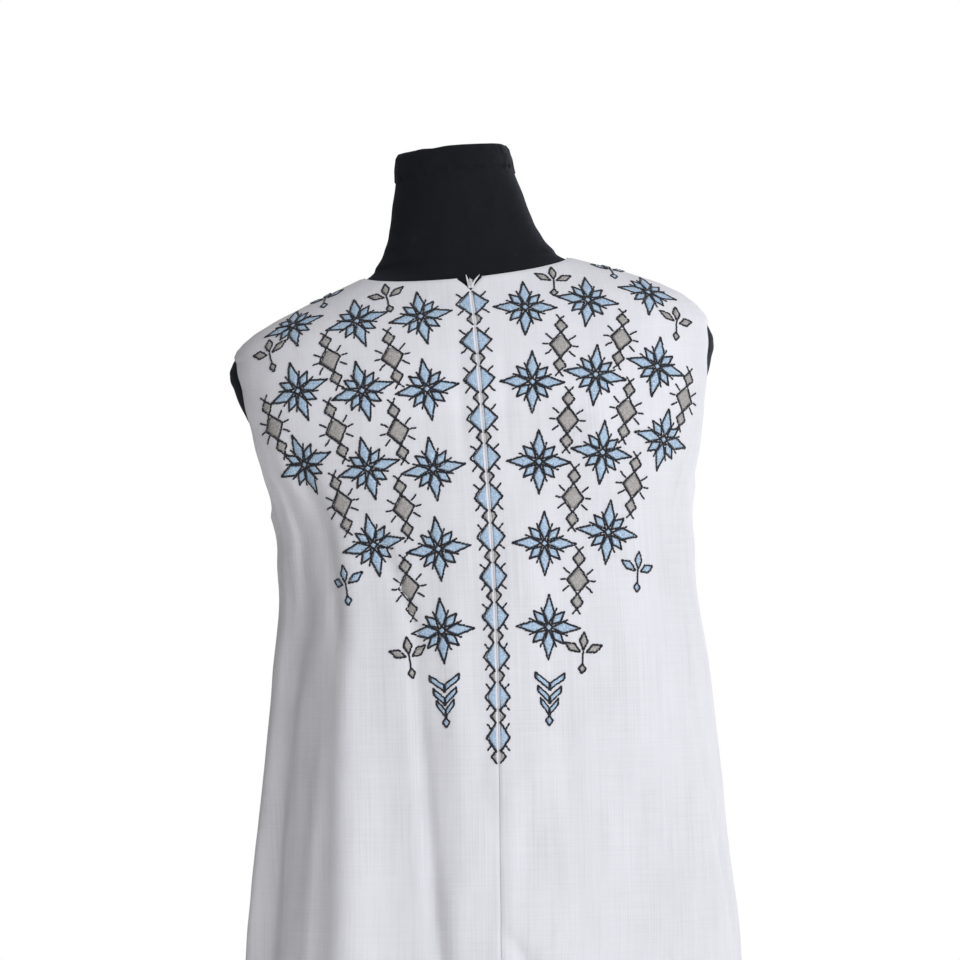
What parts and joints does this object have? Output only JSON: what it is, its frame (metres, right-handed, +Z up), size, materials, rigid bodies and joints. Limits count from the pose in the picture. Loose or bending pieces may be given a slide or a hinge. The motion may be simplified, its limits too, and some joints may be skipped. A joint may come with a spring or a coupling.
{
  "type": "sleeveless dress on a limbless dress form",
  "caption": "Sleeveless A-line dress of fine white cloth with a centre back zip and an embroidered yoke, worn by a black limbless dress form on a round stand.",
  "frame": {"origin": "middle of the base plate's flat underside, on the floor", "axes": "+Z up, +X to the wearer's left, the back of the dress with its zip towards +Y and the front towards -Y"},
  "size_m": [0.4999, 0.38, 1.4985],
  "materials": {
    "white_cloth": "fine plain weave, slightly sheer",
    "zip_tape": "woven tape",
    "zip_metal": "satin",
    "black_jersey": "matt knitted jersey",
    "black_steel": "satin black",
    "bright_steel": "brushed"
  },
  "bodies": {
    "root": {"dress_front": "white_cloth", "dress_back_left": "white_cloth", "dress_back_right": "white_cloth", "zip_tape_left": "zip_tape", "zip_tape_right": "zip_tape", "zip_slider": "zip_metal", "form_torso": "black_jersey", "stand_collar": "black_steel", "stand_pole": "bright_steel", "stand_base": "black_steel", "stand_boss": "black_steel"},
    "pull_tab": {"zip_pull": "zip_metal"}
  },
  "joints": [
    {"name": "pull_tab_hinge", "type": "hinge", "parent": "root", "child": "pull_tab", "pos_m": [0.03785, 0.05897, 1.37734], "axis": [0.9979, 0, -0.0649], "range_deg": [0, 150]}
  ]
}
